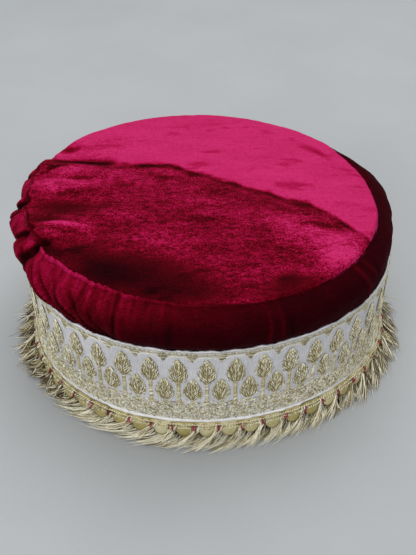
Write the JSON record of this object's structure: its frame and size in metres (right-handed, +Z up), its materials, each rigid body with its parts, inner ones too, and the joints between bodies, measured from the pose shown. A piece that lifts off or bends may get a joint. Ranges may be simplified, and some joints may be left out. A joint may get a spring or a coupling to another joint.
{
  "type": "embroidered velvet cap",
  "caption": "Round flat-topped velvet cap with a gathered side, a wide embroidered ribbon, a scalloped foil trim and a thread fringe.",
  "frame": {"origin": "on the floor, under the middle of the cap's outer box", "axes": "+Z up through the crown, -Y to the front of the picture, -X to the side where the velvet is gathered"},
  "size_m": [0.2169, 0.1958, 0.0881],
  "materials": {
    "crown_velvet": "crimson velvet with a worn, brushed nap",
    "side_velvet": "dark crimson velvet",
    "ribbon_satin": "white satin worked with gold and silver thread",
    "scallop_foil": "soft satin gold",
    "fringe_thread": "pale gold metal thread"
  },
  "bodies": {
    "root": {"crown_top": "crown_velvet", "side_wall": "side_velvet", "embroidered_ribbon": "ribbon_satin", "scallop_strip": "scallop_foil", "fringe": "fringe_thread"}
  },
  "joints": []
}
